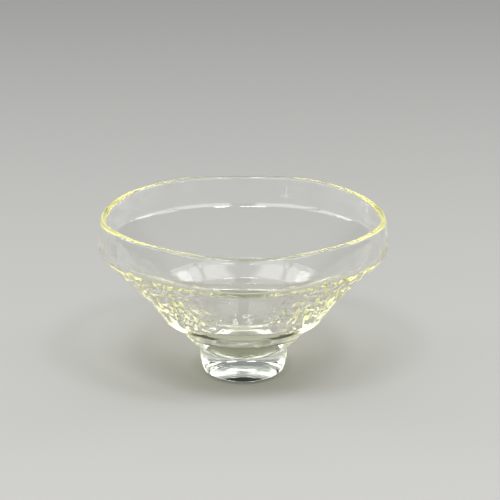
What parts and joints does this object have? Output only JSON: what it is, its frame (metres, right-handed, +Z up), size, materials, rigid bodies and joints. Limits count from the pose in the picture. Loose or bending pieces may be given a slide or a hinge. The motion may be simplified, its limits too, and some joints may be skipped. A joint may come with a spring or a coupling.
{
  "type": "art glass bowl",
  "caption": "Mould-blown stepped glass bowl: an upright band over rounded tiers that taper to a solid clear foot with a ground flat base, for serving or display.",
  "frame": {"origin": "centre of the ground base, on the plane that the bowl stands on", "axes": "+Z up the axis that both pieces are turned about; X and Y are alike"},
  "size_m": [0.1312, 0.1312, 0.078],
  "materials": {
    "straw_glass": "fire-polished blown soda glass, clear with a faint straw tint where it is seen edge on",
    "clear_glass": "solid clear glass, fire-polished wall, ground flat base"
  },
  "bodies": {
    "root": {"bowl": "straw_glass", "foot": "clear_glass"}
  },
  "joints": []
}
